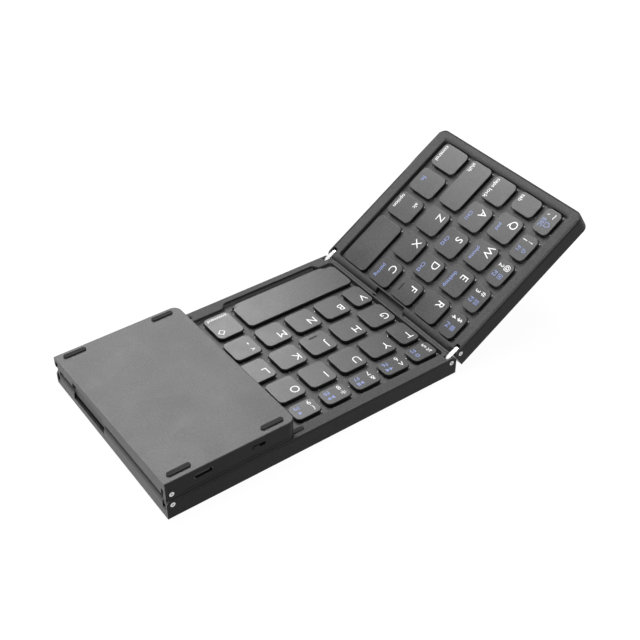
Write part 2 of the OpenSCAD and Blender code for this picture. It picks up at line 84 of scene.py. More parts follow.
def deck_of_centre():
    """The place of the unfolded deck, from the axis that the panels fold about."""
    pin = Vector(joints["fold_right_inner"]["pos_m"])
    along = Vector((1, 0, 0))
    away = Vector(joints["fold_right_inner"]["axis"]).normalized()
    up = along.cross(away)
    middle = pin + up * PIN_INSET * MM
    middle.x = 0
    place = Matrix((along, away, up)).transposed().to_4x4()
    place.translation = middle
    return place


def folded(side, stop):
    """The place of an outer panel's deck at rest: its two hinge joints stand away from flat."""
    inner, outer = f"fold_{side}_inner", f"fold_{side}_outer"
    return (turned(outer, -joints[outer]["range_deg"][stop])
            @ turned(inner, -joints[inner]["range_deg"][stop]) @ deck_of_centre())


centre_deck = deck_of_centre()
left_deck = folded("left", 0)
right_deck = folded("right", 1)
decks = {"centre_panel": centre_deck, "left_panel": left_deck, "right_panel": right_deck}


# ---------- modelling ----------
MERGE_DISTANCE = 0.002
FLAT_WITHIN = math.radians(0.5)
CRISP_FROM = math.radians(35)
LEVEL_WITHIN = 0.02


def deselect():
    if bpy.context.object and bpy.context.object.mode != "OBJECT":
        bpy.ops.object.mode_set(mode="OBJECT")
    bpy.ops.object.select_all(action="DESELECT")


def take(piece):
    """Makes a piece the only one selected, and the active one."""
    deselect()
    piece.select_set(True)
    bpy.context.view_layer.objects.active = piece


def pick(piece, kind, test):
    """Selects the faces or edges of the edited piece that pass a test."""
    bpy.ops.mesh.select_mode(type={"edges": "EDGE", "faces": "FACE"}[kind])
    bpy.ops.mesh.select_all(action="DESELECT")
    mesh = bmesh.from_edit_mesh(piece.data)
    for part in getattr(mesh, kind):
        part.select = test(part)
    mesh.select_flush_mode()
    bmesh.update_edit_mesh(piece.data)


def edit(piece):
    take(piece)
    bpy.ops.object.mode_set(mode="EDIT")
    bpy.ops.mesh.select_all(action="DESELECT")


def block(name, size, middle):
    """A box of a size in millimetres, about its middle."""
    deselect()
    bpy.ops.mesh.primitive_cube_add(size=1, location=[v * MM for v in middle])
    piece = bpy.context.object
    piece.name = name
    piece.scale = [v * MM for v in size]
    bpy.ops.object.transform_apply(location=True, rotation=False, scale=True)
    return piece


def round_rim(piece, width, segments, test, profile=0.5):
    """Rounds the edges of a piece that pass a test; a profile above 0.5 is squarer."""
    edit(piece)
    pick(piece, "edges", test)
    bpy.ops.mesh.bevel(offset=width * MM, segments=segments, affect="EDGES", clamp_overlap=False,
                       profile=profile)
    bpy.ops.object.mode_set(mode="OBJECT")


def upright(edge):
    first, last = (vert.co for vert in edge.verts)
    return abs(first.z - last.z) > 0.9 * (first - last).length


def at_height(z):
    """A test: the whole edge or face lies at this height."""
    return lambda part: all(abs(vert.co.z / MM - z) < LEVEL_WITHIN for vert in part.verts)


def corner_like(edge):
    """A test: the edge stands out between two faces that meet at an angle."""
    return len(edge.link_faces) == 2 and edge.is_convex and edge.calc_face_angle() > 0.5


def smooth(piece):
    """Smooth shading that keeps flat faces flat and corners crisp."""
    take(piece)
    bpy.ops.object.shade_smooth_by_angle(angle=CRISP_FROM)
    bpy.ops.object.modifier_add(type="WEIGHTED_NORMAL")
    piece.modifiers[-1].keep_sharp = True
    bpy.ops.object.modifier_apply(modifier=piece.modifiers[-1].name)


def join(pieces):
    """One piece of several; the first keeps its name."""
    deselect()
    for piece in pieces:
        piece.select_set(True)
    bpy.context.view_layer.objects.active = pieces[0]
    bpy.ops.object.join()
    return pieces[0]


def cut(piece, tool):
    """Cuts the shape of a tool out of a piece, and takes the tool away."""
    take(piece)
    bpy.ops.object.modifier_add(type="BOOLEAN")
    piece.modifiers[-1].object = tool
    piece.modifiers[-1].solver = "EXACT"
    bpy.ops.object.modifier_apply(modifier=piece.modifiers[-1].name)
    take(tool)
    bpy.ops.object.delete()


def finish(piece, *materials):
    """Gives a piece its materials; a face's material index picks one of them."""
    piece.data.materials.clear()
    for material in materials:
        piece.data.materials.append(material)


def put(piece, place, body, slot, *nodes):
    """Puts a piece that was made on the flat deck where its panel is, and lets it ride there."""
    deselect()
    piece.data.transform(place @ piece.matrix_world)
    piece.matrix_world = Matrix.Identity(4)
    piece.data.name = piece.name
    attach(piece, body)
    if nodes:
        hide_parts(*nodes)
    return piece


def copy_of(node, name, place):
    """A merged copy of a CAD node, on the flat deck."""
    take(frame["nodes"][node])
    bpy.ops.object.duplicate()
    piece = bpy.context.object
    piece.name = name
    piece.parent = None
    piece.data.transform(place.inverted())
    piece.matrix_world = Matrix.Identity(4)
    edit(piece)
    bpy.ops.mesh.select_all(action="SELECT")
    bpy.ops.mesh.remove_doubles(threshold=MERGE_DISTANCE * MM)
    bpy.ops.mesh.dissolve_limited(angle_limit=FLAT_WITHIN)
    bpy.ops.object.mode_set(mode="OBJECT")
    return piece


def loose_boxes(node, place):
    """The lowest and highest corner of each solid of a CAD node, on the flat deck."""
    piece = copy_of(node, "loose", place)
    edit(piece)
    bpy.ops.mesh.separate(type="LOOSE")
    bpy.ops.object.mode_set(mode="OBJECT")
    boxes = []
    for part in bpy.context.selected_objects:
        corners = [vert.co for vert in part.data.vertices]
        low = [min(co[axis] for co in corners) / MM for axis in range(3)]
        high = [max(co[axis] for co in corners) / MM for axis in range(3)]
        boxes.append((low, high))
    bpy.ops.object.delete()
    return sorted(boxes)


# ---------- finishes ----------
class Value:
    """A number that a material works out; arithmetic on it adds the Math nodes."""

    def __init__(self, recipe, socket):
        self.recipe, self.socket = recipe, socket

    def _math(self, operation, *values):
        return self.recipe.add("ShaderNodeMath", {"operation": operation}, *values)

    def __add__(self, other):
        return self._math("ADD", self, other)

    __radd__ = __add__

    def __sub__(self, other):
        return self._math("SUBTRACT", self, other)

    def __mul__(self, other):
        return self._math("MULTIPLY", self, other)

    __rmul__ = __mul__


class Nodes:
    """The nodes of a material or of the room."""

    def __init__(self, tree):
        self.tree = tree

    def feed(self, socket, value):
        """Links a worked-out value to a socket, or sets a plain one on it."""
        if isinstance(value, Value):
            self.tree.links.new(value.socket, socket)
        elif hasattr(value, "__len__") and len(value) == 3 and socket.type == "RGBA":
            socket.default_value = (*value, 1)
        else:
            socket.default_value = value

    def add(self, kind, settings, *ordered, output=0, **named):
        """Adds a node: its settings first, then what its sockets take."""
        node = self.tree.nodes.new(kind)
        for setting, value in settings.items():
            setattr(node, setting, value)
        for socket, value in zip(node.inputs, ordered):
            self.feed(socket, value)
        for socket, value in named.items():
            self.feed(node.inputs[socket.replace("_", " ")], value)
        return Value(self, node.outputs[output])

    def seen_straight(self):
        """One where the camera or a shiny surface looks at it, and none for scattered light."""
        camera_ray, glossy_ray, clear_ray = (
            self.add("ShaderNodeLightPath", {}, output=ray)
            for ray in ("Is Camera Ray", "Is Glossy Ray", "Is Transmission Ray"))
        return camera_ray + glossy_ray + clear_ray


class Recipe(Nodes):
    """A material, and what it is mixed from."""

    def __init__(self, name, **sockets):
        self.material = bpy.data.materials.new(name)
        self.material.use_nodes = True
        super().__init__(self.material.node_tree)
        self.shader = self.tree.nodes["Principled BSDF"]
        self.shade(**sockets)

    def shade(self, **sockets):
        """Sets the shader's own sockets; an underscore stands for a space."""
        for socket, value in sockets.items():
            self.feed(self.shader.inputs[socket.replace("_", " ")], value)
        return self.material

    def place(self):
        """Where a point is on the piece."""
        return self.add("ShaderNodeTexCoord", {}, output="Object")

    def noise(self, grain_mm, detail=2.0, roughness=0.5, stretch=(1, 1, 1)):
        """A soft random pattern, whose grains are about this many millimetres wide."""
        place = self.add("ShaderNodeMapping", {"vector_type": "POINT"}, self.place(),
                         Scale=stretch)
        return self.add("ShaderNodeTexNoise", {}, Vector=place, Scale=1 / (grain_mm * MM),
                        Detail=detail, Roughness=roughness, output="Fac")

    def ramp(self, value, low, high):
        """Spreads the stretch of a value from low to high over 0 to 1."""
        return self.add("ShaderNodeMapRange", {"interpolation_type": "SMOOTHSTEP"},
                        value, low, high)

    def blend(self, share, first, second):
        """Goes from the first colour to the second."""
        mix = self.tree.nodes.new("ShaderNodeMix")
        mix.data_type = "RGBA"
        colours = [socket for socket in mix.inputs if socket.type == "RGBA"]
        result = next(socket for socket in mix.outputs if socket.type == "RGBA")
        self.feed(mix.inputs["Factor"], share)
        self.feed(colours[0], first)
        self.feed(colours[1], second)
        return Value(self, result)

    def bump(self, height, depth_mm, strength):
        return self.add("ShaderNodeBump", {}, Height=height, Distance=depth_mm * MM,
                        Strength=strength, output="Normal")


def linear(srgb):
    """A colour from its sRGB levels, 0 to 255."""
    return tuple(c / 255 / 12.92 if c <= 10 else ((c / 255 + 0.055) / 1.055) ** 2.4
                 for c in srgb)


def grey(level):
    return linear((level, level, level))


def moulded(name, level, grain_mm, grain_depth_mm, roughness, gloss=0.5, fleck_share=0.11):
    """Moulded plastic with a fine spark-eroded grain, faint clouds and handling marks."""
    recipe = Recipe(name, Specular_IOR_Level=gloss)
    grain = recipe.noise(grain_mm, detail=3.0, roughness=0.6)
    clouds = recipe.ramp(recipe.noise(24, detail=2.0), 0.3, 0.7)
    smudge = recipe.ramp(recipe.noise(9, detail=4.0, roughness=0.6), 0.45, 0.8)
    fleck = recipe.ramp(recipe.noise(grain_mm * 1.6, detail=1.0), 0.35, 0.7)
    colour = recipe.blend(0.2 * clouds + 0.8 * fleck,
                          grey(level * (1 - fleck_share)), grey(level * (1 + fleck_share)))
    return recipe.shade(Base_Color=colour, Roughness=roughness + 0.05 * clouds - 0.05 * smudge,
                        Normal=recipe.bump(grain, grain_depth_mm, 0.6))


def printed(name, srgb):
    """Ink: matt, a little uneven."""
    recipe = Recipe(name)
    patch = recipe.noise(0.4, detail=2.0)
    colour = recipe.blend(recipe.ramp(patch, 0.3, 0.7),
                          linear([c * 0.96 for c in srgb]), linear(srgb))
    return recipe.shade(Base_Color=colour, Roughness=0.45 + 0.1 * patch)


def plated(name, level, roughness, stretch):
    """Plated metal with fine drawing lines."""
    recipe = Recipe(name, Metallic=1.0)
    lines = recipe.noise(0.35, detail=3.0, stretch=stretch)
    colour = recipe.blend(lines, grey(level * 0.95), grey(level))
    return recipe.shade(Base_Color=colour, Roughness=roughness + 0.12 * lines,
                        Normal=recipe.bump(lines, 0.01, 0.3))


def rubbery(name, level, roughness, gloss=0.5):
    """Soft rubber or silicone, matt and slightly pitted."""
    recipe = Recipe(name, Specular_IOR_Level=gloss)
    pits = recipe.noise(0.5, detail=4.0, roughness=0.7)
    dust = recipe.ramp(recipe.noise(4, detail=3.0), 0.4, 0.8)
    colour = recipe.blend(dust, grey(level), grey(min(255, level * 1.15)))
    return recipe.shade(Base_Color=colour, Roughness=roughness + 0.1 * pits,
                        Normal=recipe.bump(pits, 0.02, 0.5))


case_plastic = moulded("case_plastic", 74, 0.4, 0.012, 0.42, 0.29)
# A darker copy of the case plastic for walls that face along y: painted shade.
side_plastic = moulded("side_plastic", 58, 0.4, 0.012, 0.42, 0.12)
bezel_plastic = moulded("bezel_plastic", 80, 0.4, 0.012, 0.6, 0.1)
key_plastic = moulded("key_plastic", 58, 0.4, 0.014, 0.31, 0.4, 0.18)
plate_paint = moulded("plate_paint", 80, 0.4, 0.01, 0.5, 0.2)
touch_surface = moulded("touch_surface", 76, 0.12, 0.004, 0.38)
# Near-black plastic on the caps' flanks and homing bars, darker than the cap plastic: painted
# shade. It is also the floor of the bezels' sunk seam, a dark joint.
flank_black = moulded("flank_black", 58, 0.3, 0.002, 0.3, 0.2)
clip_plastic = moulded("clip_plastic", 190, 0.4, 0.01, 0.5)
slider_plastic = moulded("slider_plastic", 42, 0.2, 0.01, 0.4, 0.15)
white_ink = printed("white_ink", (246, 246, 246))
blue_ink = printed("blue_ink", (130, 146, 200))
bright_metal = plated("bright_metal", 206, 0.2, (1, 1, 6))
# A darker copy of the plated metal, for the folded hinge's link bars: painted shade.
dull_metal = plated("dull_metal", 84, 0.4, (1, 1, 6))
steel_shell = plated("steel_shell", 88, 0.4, (6, 1, 1))
# Dark rubber for the open hinge's cable bridge, darker than the folded hinge's bridge: painted
# shade.
black_rubber = rubbery("black_rubber", 44, 0.6)
foot_rubber = rubbery("foot_rubber", 40, 0.7, 0.15)
bridge_rubber = rubbery("bridge_rubber", 72, 0.5, 0.3)
dome_silicone = rubbery("dome_silicone", 200, 0.6)


def solder_mask():
    """A green board with pale tracks under its mask."""
    recipe = Recipe("solder_mask")
    tracks = recipe.ramp(recipe.noise(1.2, detail=1.0, stretch=(1, 5, 1)), 0.52, 0.56)
    colour = recipe.blend(tracks, linear((18, 84, 46)), linear((40, 118, 70)))
    return recipe.shade(Base_Color=colour, Roughness=0.35 + 0.05 * tracks,
                        Normal=recipe.bump(tracks, 0.02, 0.4))


def foil():
    """The creased pouch of a flat cell."""
    recipe = Recipe("cell_foil", Metallic=0.8)
    creases = recipe.noise(5, detail=5.0, roughness=0.6)
    colour = recipe.blend(creases, linear((150, 158, 172)), linear((188, 194, 204)))
    return recipe.shade(Base_Color=colour, Roughness=0.3 + 0.2 * creases,
                        Normal=recipe.bump(creases, 0.15, 0.5))


board_green = solder_mask()
cell_foil = foil()

node_finish = {
    "case": case_plastic, "bezel": bezel_plastic, "cap": key_plastic, "plate": plate_paint,
    "clip": clip_plastic, "dome": dome_silicone, "foot": foot_rubber, "bright": bright_metal,
    "bridge": bridge_rubber, "pad": touch_surface, "board": board_green, "cell": cell_foil,
    "shell": steel_shell,
}
for part in frame["record"]["subparts"]:
    finish(frame["nodes"][part["node"]], node_finish[part["material_slot"]])
finish(frame["nodes"]["power_switch"], slider_plastic)
# The folded hinge's link bars are the same plated metal as the open hinge's, painted darker:
# painted shade.
finish(frame["nodes"]["right_link_bars"], dull_metal)
# The open hinge's bridge, in the shade between the panels, is painted darker than the folded
# one's: painted shade.
finish(frame["nodes"]["left_cable_bridge"], black_rubber)


# ---------- cases and bezels ----------
STEEP = 0.7
HINGE_ZONE = 6.0
BASE_ROUNDING = 0.5

# A rim's rounding is (width, profile); a lip is the rounding round the opening.
RIMS = {"centre_panel": (0.75, 0.93), "left_panel": (0.75, 0.6), "right_panel": (0.25, 0.93)}
LIPS = {"centre_panel": 0.7, "left_panel": 0.7, "right_panel": 0.25}
END_LIP = 1.8
END_LIP_ZONE = (3, 5.6)
LINKS_ZONE = 3.3
LINKS_SIDE = 3.6

# The seam runs along the inner edge of the rim's rounding.
SEAM_INSIDE = 0.75
SEAM_WIDTH = 0.2
SEAM_DEPTH = 0.4

# Level lines across the deck, just inside both ends of the openings.
FACE_SPLITS = (-42, 42)
# From this y forward, the centre's well wall that faces back is painted paler towards its foot:
# painted light.
FRONT_WALL_FROM = -30


def base_height(y):
    """How high the sloping base lies under the deck, at y."""
    slope = joints["fold_right_inner"]["axis"][2]
    return -(MIDDLE_THICKNESS + y * slope) / math.sqrt(1 - slope * slope)


def on_base(edge):
    """A test: the edge lies in the panel's base."""
    return all(abs(vert.co.z / MM - base_height(vert.co.y / MM)) < 0.03 for vert in edge.verts)


def reach_of(piece):
    """The lowest and highest x of a piece."""
    across = [vert.co.x / MM for vert in piece.data.vertices]
    return min(across), max(across)


def from_outline(vert, body, reach):
    """How far a point is inside a panel's outline; hinge ends don't count."""
    x, y = vert.co.x / MM, abs(vert.co.y / MM)
    from_end = {"left_panel": x - reach[0], "right_panel": reach[1] - x}.get(body, HALF_CENTRE)
    from_side = HALF_DEPTH - y
    if from_end < CORNER_RADIUS and from_side < CORNER_RADIUS:
        return CORNER_RADIUS - math.hypot(CORNER_RADIUS - from_end, CORNER_RADIUS - from_side)
    return min(from_end, from_side)


def along_outline(body, reach, inside=0.0, slack=0.05):
    """A test: the edge or face runs along the outline, so far inside it, and not in a hinge."""
    first_hinge = -math.inf if body == "left_panel" else reach[0]
    last_hinge = math.inf if body == "right_panel" else reach[1]

    def test(part):
        on_line = all(abs(from_outline(vert, body, reach) - inside) < slack
                      for vert in part.verts)
        from_hinges = [min(vert.co.x / MM - first_hinge, last_hinge - vert.co.x / MM)
                       for vert in part.verts]
        return on_line and max(from_hinges) > HINGE_ZONE
    return test


def in_hinge_notch(edge, reach):
    """A test: the edge belongs to a notch that a hinge's links lie in."""
    return all(min(vert.co.x / MM - reach[0], reach[1] - vert.co.x / MM) < LINKS_ZONE
               or HALF_DEPTH - abs(vert.co.y / MM) < LINKS_SIDE for vert in edge.verts)


def on_free_end(edge, reach):
    """A test: the edge belongs to the opening's side that is next to a panel's free end."""
    nearest, farthest = END_LIP_ZONE
    return all(nearest < vert.co.x / MM - reach[0] < farthest for vert in edge.verts)


def case(node, body):
    """A case whose base has a soft edge all round."""
    piece = copy_of(node, node + "_moulding", decks[body])
    reach = reach_of(piece)
    by_outline = along_outline(body, reach)
    round_rim(piece, BASE_ROUNDING, 3,
              lambda edge: corner_like(edge) and on_base(edge) and by_outline(edge))
    smooth(piece)
    finish(piece, case_plastic, side_plastic)
    # Walls that face along y take the darker copy of the case plastic: painted shade.
    for face in piece.data.polygons:
        face.material_index = 1 if abs(face.normal.y) > STEEP else 0
    return put(piece, decks[body], body, "case", node)


def well_wall(level_at_top, level_at_foot):
    """Plastic that gets paler down the wall of the keys' well: painted light, standing in for
    light that reaches the wall's foot.
    """
    recipe = Recipe("well_wall", Specular_IOR_Level=0.1)
    _, _, (*up, offset), _ = centre_deck.inverted()
    height = offset + recipe.add("ShaderNodeVectorMath", {"operation": "DOT_PRODUCT"},
                                 recipe.place(), Vector(up), output="Value")
    depth = recipe.ramp(-1 * height, 0.6 * MM, 2.6 * MM)
    colour = recipe.blend(depth, grey(level_at_top), grey(level_at_foot))
    return recipe.shade(Base_Color=colour, Roughness=0.6 + 0.05 * recipe.noise(0.4),
                        Normal=recipe.bump(recipe.noise(0.4, detail=3.0), 0.012, 0.6))


def round_bezel(piece, body, reach):
    """Rounds a bezel's lip and rim, and marks off the strip that its seam is sunk in."""
    on_deck = at_height(0)
    by_outline = along_outline(body, reach)
    by_seam = along_outline(body, reach, SEAM_INSIDE, 0.03)
    if body == "left_panel":
        round_rim(piece, END_LIP, 5, lambda edge: (corner_like(edge) and on_deck(edge)
                                                   and on_free_end(edge, reach)))
    round_rim(piece, LIPS[body], 4, lambda edge: (corner_like(edge) and on_deck(edge)
                                                  and not by_outline(edge)
                                                  and not in_hinge_notch(edge, reach)))
    width, profile = RIMS[body]
    round_rim(piece, width, 4,
              lambda edge: corner_like(edge) and on_deck(edge) and by_outline(edge), profile)
    round_rim(piece, SEAM_WIDTH, 1, lambda edge: on_deck(edge) and by_seam(edge))


def sink_seam(piece, body, reach):
    """Sinks the seam; gives back which faces are its floor."""
    in_seam = along_outline(body, reach, SEAM_INSIDE, SEAM_WIDTH + 0.06)
    edit(piece)
    for y in FACE_SPLITS:
        bpy.ops.mesh.select_all(action="SELECT")
        bpy.ops.mesh.bisect(plane_co=(0, y * MM, 0), plane_no=(0, 1, 0))
    pick(piece, "faces", lambda face: face.normal.z > 0.8 and in_seam(face))
    bpy.ops.mesh.extrude_region_shrink_fatten(
        TRANSFORM_OT_shrink_fatten={"value": -SEAM_DEPTH * MM})
    bpy.ops.object.mode_set(mode="OBJECT")
    return [face.select for face in piece.data.polygons]


def bezel(node, body):
    """A bezel with a soft lip round its opening, a rounded rim and a seam line inside the rim."""
    piece = copy_of(node, node + "_moulding", decks[body])
    reach = reach_of(piece)
    round_bezel(piece, body, reach)
    sunk = sink_seam(piece, body, reach)
    smooth(piece)
    top, seam, front_wall, end_wall, side_wall = range(5)
    finish(piece, bezel_plastic, flank_black, painted_light_wall, case_plastic, side_plastic)
    for face, is_sunk in zip(piece.data.polygons, sunk):
        corners = [piece.data.vertices[index] for index in face.vertices]
        outer = all(from_outline(vert, body, reach) < 0.3 for vert in corners)
        if is_sunk:
            face.material_index = seam
        # Outer walls facing along y take the darker copy of the case plastic: painted shade.
        elif outer and abs(face.normal.z) < 0.5:
            face.material_index = side_wall if abs(face.normal.y) > STEEP else end_wall
        # The centre's front well wall takes the plastic with painted light, paler towards its
        # foot.
        elif (body == "centre_panel" and face.normal.y > STEEP
              and face.center.y < FRONT_WALL_FROM * MM):
            face.material_index = front_wall
        else:
            face.material_index = top
    return put(piece, decks[body], body, "bezel", node)


# The well wall's plastic, painted paler towards the foot: painted light.
painted_light_wall = well_wall(90, 200)
for panel in ("centre", "left", "right"):
    case(panel + "_case", panel + "_panel")
    bezel(panel + "_bezel", panel + "_panel")


# ---------- the bridge of the folded hinge ----------
BRIDGE_FACE = 74.8
BRIDGE_THICKER = 0.15


def right_bridge():
    """The rubber bridge of the folded hinge, a little thicker on its outer side."""
    piece = copy_of("right_cable_bridge", "right_bridge_cover", centre_deck)
    edit(piece)
    pick(piece, "faces", lambda face: all(vert.co.x > BRIDGE_FACE * MM for vert in face.verts))
    bpy.ops.transform.translate(value=(BRIDGE_THICKER * MM, 0, 0))
    bpy.ops.object.mode_set(mode="OBJECT")
    smooth(piece)
    finish(piece, bridge_rubber)
    return put(piece, centre_deck, "right_link", "bridge", "right_cable_bridge")


right_bridge()


# ---------- legends ----------
# A mark is (text, height of a capital, corner of the key, along, in from that corner, ink). All
# signs are plain ones of the kind that any keyboard has.
CAPITAL = 0.682
WORD = 2.15

# The font draws some signs small.
SIGN_HEIGHTS = {"^": 4.0, "~": 3.6, "*": 4.0}
DIGIT_HEIGHTS = {"`": 4.4}

# Large letters are drawn a little thinner than the font has them, and small ones bolder.
LARGE = 3
THINNER, BOLDER = -0.005, 0.02


def letter(text, blue=""):
    """A letter key's marks."""
    marks = [(text, 4.15, "back", 3.8, 4.6, white_ink)]
    return marks + ([(blue, 2.0, "back", 8.0, 10.6, blue_ink)] if blue else [])


def number(digit, sign, function, icon, icon_height=1.5, blue_along=9.8):
    """A number key's marks: two white ones, and beside them two blue ones."""
    return [(sign, SIGN_HEIGHTS.get(sign, 2.5), "back", 3.1, 3.3, white_ink),
            (digit, DIGIT_HEIGHTS.get(digit, 2.6), "back", 3.2, 6.9, white_ink),
            (icon, icon_height, "back", blue_along, 3.4, blue_ink),
            (function, 2.1, "back", blue_along, 6.8, blue_ink)]


def signs(upper, lower, height=2.5, lower_height=2.5, lower_inward=8.0):
    """A key's two signs, one over the other."""
    return [(upper, height, "back", 3.6, 3.4, white_ink),
            (lower, lower_height, "back", 3.6, lower_inward, white_ink)]


def word(text, height=WORD):
    return [(text, height, "front", 1.6, 2.4, white_ink)]


def arrow(text, along=7.0, inward=8.5):
    return [(text, 2.6, "back", along, inward, white_ink)]


LEGENDS = {
    "left_number_keys": [
        number("`", "~", "ESC", "\u2302", 3.0, 8.2), number("1", "!", "F1", "\u2315", 2.8, 8.2),
        number("2", "@", "F2", "\u25a3", 2.2, 8.2), number("3", "#", "F3", "\u25a4", 2.2, 8.2),
        number("4", "$", "F4", "\u25a6", 2.2, 8.2)],
    "centre_number_keys": [
        number("5", "%", "F5", "\u263c", 2.2), number("6", "^", "F6", "\u25c0\u25c0"),
        number("7", "&", "F7", "\u25b6\u2759\u2759"), number("8", "*", "F8", "\u25b6\u25b6"),
        number("9", "(", "F9", "\u25c0"), number("0", ")", "F10", "\u25c0)"),
        number("-", "_", "F11", "\u25c0))"), number("=", "+", "F12", "\u25a1"),
        [("\u232b", 2.4, "back", 6.2, 4.7, white_ink)]],
    "left_modifier_keys": [
        word("tab"), word("caps lock"), word("shift"), word("control"),
        [("fn", 2.6, "front", 4.4, 4.6, blue_ink)],
        word("option") + [("alt", WORD, "back", 3.2, 4.0, white_ink)]],
    "centre_right_keys": [
        letter("P"), signs("{", "["), signs("}", "]"), signs("|", "\\", 2.2, 2.2),
        signs(":", ";"), signs("\"", "'"), word("enter"),
        signs(">", "."), signs("?", "/"), arrow("\u2191", 7.1, 7.1), word("del"), word("alt"),
        arrow("\u2190"), arrow("\u2193"), arrow("\u2192")],
    "key_comma": [signs("<", ",", lower_height=4.4, lower_inward=8.2)],
    "key_command": [word("command", 1.85) + [("\u25c7", 2.8, "right", 3.4, 4.4, white_ink)]],
    "key_space_right": [[]],
    "key_space_left": [[]],
}
BLUE_WORDS = {"q": "pad", "w": "phone", "e": "desktop", "a": "CH1", "s": "CH2", "d": "CH3",
              "c": "pairing"}
for name in "rewqfdsacxztyuioghjklvbnm":
    LEGENDS["key_" + name] = [letter(name.upper(), BLUE_WORDS.get(name, ""))]


# ---------- keys ----------
CAP_RIM = 0.3
# Below FLANK_TOP the caps' flanks, and above BAR_ABOVE the homing bars, are painted near-black:
# painted shade.
FLANK_TOP = -0.62
BAR_ABOVE = 0.1
INK_HEIGHT = 0.012
LETTER_STEPS = 3


def stamp(mark, box):
    """Prints one mark on the cap that a box is about."""
    text, height, corner, along, inward, ink = mark
    (left, front, _), (right, back, _) = box
    deselect()
    bpy.ops.object.text_add(location=(0, 0, 0))
    drawing = bpy.context.object.data
    drawing.body = text
    drawing.size = height / CAPITAL * MM
    drawing.offset = (THINNER if height > LARGE else BOLDER) * MM
    drawing.resolution_u = LETTER_STEPS
    bpy.ops.object.convert(target="MESH")
    print_ = bpy.context.object
    places = [vert.co for vert in print_.data.vertices]
    low = Vector([min(place[axis] for place in places) for axis in range(3)])
    high = Vector([max(place[axis] for place in places) for axis in range(3)])
    middle = (low + high) / 2
    where = {"back": Vector((left + along, back - inward, 0)),
             "right": Vector((right - along, back - inward, 0)),
             "front": Vector((left + along, front + inward, 0))}[corner]
    if corner == "front":
        middle.x = low.x
    shift = where * MM - middle
    shift.z = (KEY_TOP + INK_HEIGHT) * MM
    print_.data.transform(Matrix.Translation(shift))
    finish(print_, ink)
    return print_


def reading_order(box):
    """Rows from the back, and along each row from the left."""
    (left, _, _), (_, back, _) = box
    return -round(back), left


def keycap(node, body):
    """The caps of a key node, each with a soft rim, flanks painted near-black as painted shade,
    and its legend.
    """
    deck = decks[joint_parent[body]]
    boxes = sorted(cap_boxes[body], key=reading_order)
    piece = copy_of(node, node + "_cap", deck)
    top = at_height(KEY_TOP)
    round_rim(piece, CAP_RIM, 3, lambda edge: corner_like(edge) and top(edge))
    edit(piece)
    bpy.ops.mesh.select_all(action="SELECT")
    bpy.ops.mesh.bisect(plane_co=(0, 0, FLANK_TOP * MM), plane_no=(0, 0, 1))
    bpy.ops.object.mode_set(mode="OBJECT")
    smooth(piece)
    finish(piece, key_plastic, flank_black)
    # The flanks and the homing bars take the near-black plastic: painted shade.
    for face in piece.data.polygons:
        on_flank = face.center.z < FLANK_TOP * MM
        on_bar = face.center.z > (KEY_TOP + BAR_ABOVE) * MM
        face.material_index = 1 if on_flank or on_bar else 0
    prints = [stamp(mark, box) for marks, box in zip(LEGENDS[node], boxes) for mark in marks]
    piece = join([piece] + prints)
    return put(piece, deck, body, "cap", node)


# ---------- the grid between the keys ----------
GRID_TOP = -2.5
GRID_LIFT = 0.5
CAP_CORNER = 2.6
CAP_GAP = 0.45
POST_HEIGHT = 4

# The long space bar's near side steps forward; (start, end) are from the bar's left end.
STEPPED_KEY = "key_space_right"
BAR_STEP = (3.43, 60.57)
STEP_DROP = 1.9
STEP_SLANT = 4
CORNER_POST = (1.2, 1.5, POST_HEIGHT)

# Small tabs at each opening's edge: (size), and how far from the cap's corner or side. The
# white-ink tabs are painted glints at the caps' corners.
TAB_ROUNDING = 0.06
GLINT_TAB = (0.35, 0.35, 1.0)
GLINT_TAB_PLACE = (1.01, 0.06, -2.1)
METAL_TAB_BACK = (0.5, 0.15, 0.2)
METAL_TAB_SIDE = (0.15, 0.5, 0.2)
METAL_TAB_ALONG = 2.8


def cutter(left, front, right, back):
    """A post a little wider than a cap, to cut the cap's opening."""
    size = (right - left + 2 * CAP_GAP, back - front + 2 * CAP_GAP, POST_HEIGHT)
    post = block("post", size, ((left + right) / 2, (front + back) / 2, GRID_TOP))
    round_rim(post, CAP_CORNER + CAP_GAP, 8, upright)
    return post


def cutters_of_step(left, front, right):
    """Posts for the part of the long space bar that steps forward: a slanted one, and a small
    one at the bar's pointed corner."""
    start, end = (left + along for along in BAR_STEP)
    middle = (start + end) / 2
    size = (end - start, STEP_DROP + CAP_GAP, POST_HEIGHT)
    slanted = block("post", size, (middle, front + (STEP_DROP - CAP_GAP) / 2, GRID_TOP))
    edit(slanted)
    pick(slanted, "faces", lambda face: face.normal.y < -0.9)
    bpy.ops.transform.resize(value=(1 - 2 * STEP_SLANT / (end - start), 1, 1),
                             center_override=(middle * MM, 0, 0))
    bpy.ops.object.mode_set(mode="OBJECT")
    corner = (right + CAP_GAP - CORNER_POST[0] / 2, front + STEP_DROP + 0.3, GRID_TOP)
    return [slanted, block("post", CORNER_POST, corner)]


def tab(size, middle, slot):
    """A small tab in one of the grid's materials."""
    piece = block("tab", size, middle)
    round_rim(piece, TAB_ROUNDING, 2, lambda edge: True)
    finish(piece, *GRID_MATERIALS)
    for face in piece.data.polygons:
        face.material_index = slot
    return piece


def tabs_of(left, front, right, back):
    """The three tabs at a cap's opening."""
    along, inward, height = GLINT_TAB_PLACE
    # The first tab is white ink: a painted glint.
    return [tab(GLINT_TAB, (left + along, back - inward, height), 1),
            tab(METAL_TAB_BACK, (right - METAL_TAB_ALONG, back + CAP_GAP, GRID_TOP), 2),
            tab(METAL_TAB_SIDE, (right + CAP_GAP, front + METAL_TAB_ALONG, GRID_TOP), 2)]


